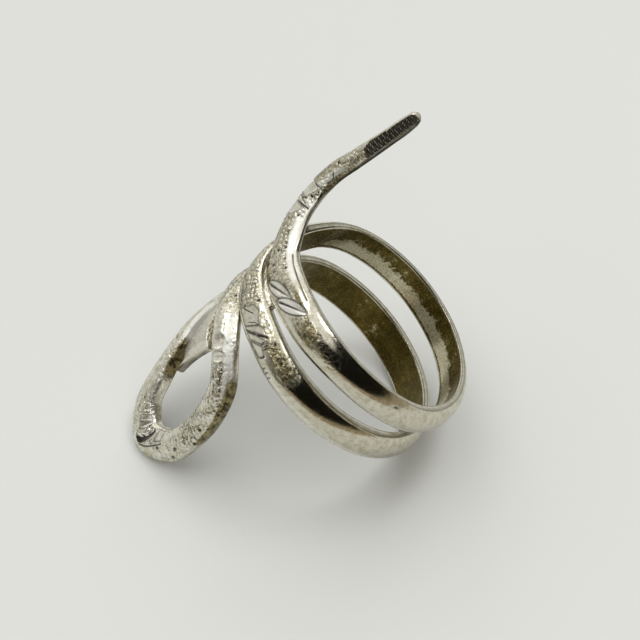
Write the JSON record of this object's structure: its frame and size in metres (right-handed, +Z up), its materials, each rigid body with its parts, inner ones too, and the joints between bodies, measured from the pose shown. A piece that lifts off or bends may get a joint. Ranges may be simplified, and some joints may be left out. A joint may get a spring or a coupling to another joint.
{
  "type": "snake wrap ring",
  "caption": "Finger ring of one half-round silver wire: tapering tail, two hoops and a drop-shaped loop, with stamped leaf and scale marks.",
  "frame": {"origin": "centre of the bounding box on the table the ring stands on", "axes": "+Z up from the table; -Y towards the front, where the loop and the tail are seen; the finger's axis runs up and to +X"},
  "size_m": [0.0298, 0.0206, 0.0284],
  "materials": {
    "silver": "worn polished silver with brown tarnish inside the hoops"
  },
  "bodies": {
    "root": {"ring": "silver"}
  },
  "joints": []
}
